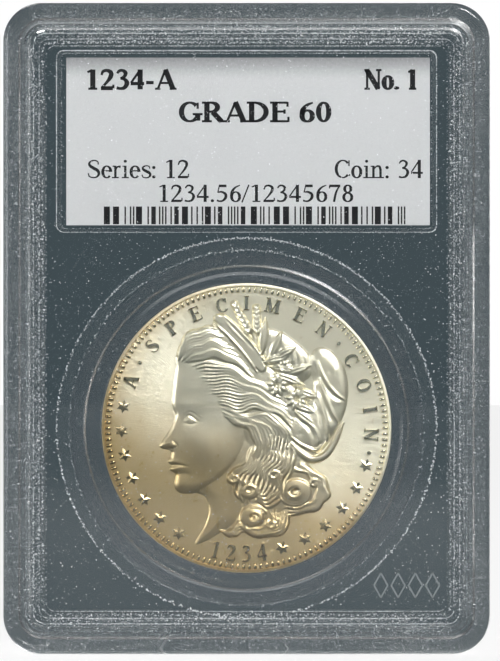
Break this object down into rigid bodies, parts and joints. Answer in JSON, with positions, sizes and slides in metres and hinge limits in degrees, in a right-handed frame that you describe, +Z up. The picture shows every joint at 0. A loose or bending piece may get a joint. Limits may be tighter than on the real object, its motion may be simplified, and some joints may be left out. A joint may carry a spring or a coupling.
{
  "type": "graded coin slab",
  "caption": "Sealed clear plastic holder with a large silver coin in a clear ring, a printed paper label above it and a foil label on the back.",
  "frame": {"origin": "middle of the bottom edge, on the parting plane of the two halves", "axes": "+Z up along the height, +X along the width, front towards -Y, thickness along Y"},
  "size_m": [0.0636, 0.0078, 0.085],
  "materials": {
    "clear_front": "clear polystyrene, polished panels and lightly frosted, scuffed rims",
    "clear_rear": "clear polystyrene, polished panels and lightly frosted, scuffed rims",
    "soft_clear_ring": "soft clear plastic, satin",
    "coin_silver": "struck silver with frosty lustre and pale gold toning",
    "label_paper": "smooth white paper with black print",
    "security_foil": "embossed security foil with a fine guilloche pattern"
  },
  "bodies": {
    "case": {"front_shell": "clear_front", "rear_shell": "clear_rear", "coin_ring": "soft_clear_ring", "grade_label": "label_paper", "rear_security_label": "security_foil"},
    "coin": {"coin": "coin_silver"}
  },
  "joints": [
    {"name": "coin_turn", "type": "hinge", "parent": "case", "child": "coin", "pos_m": [0, 0, 0.0295], "axis": [0, -1, 0], "continuous": true}
  ]
}
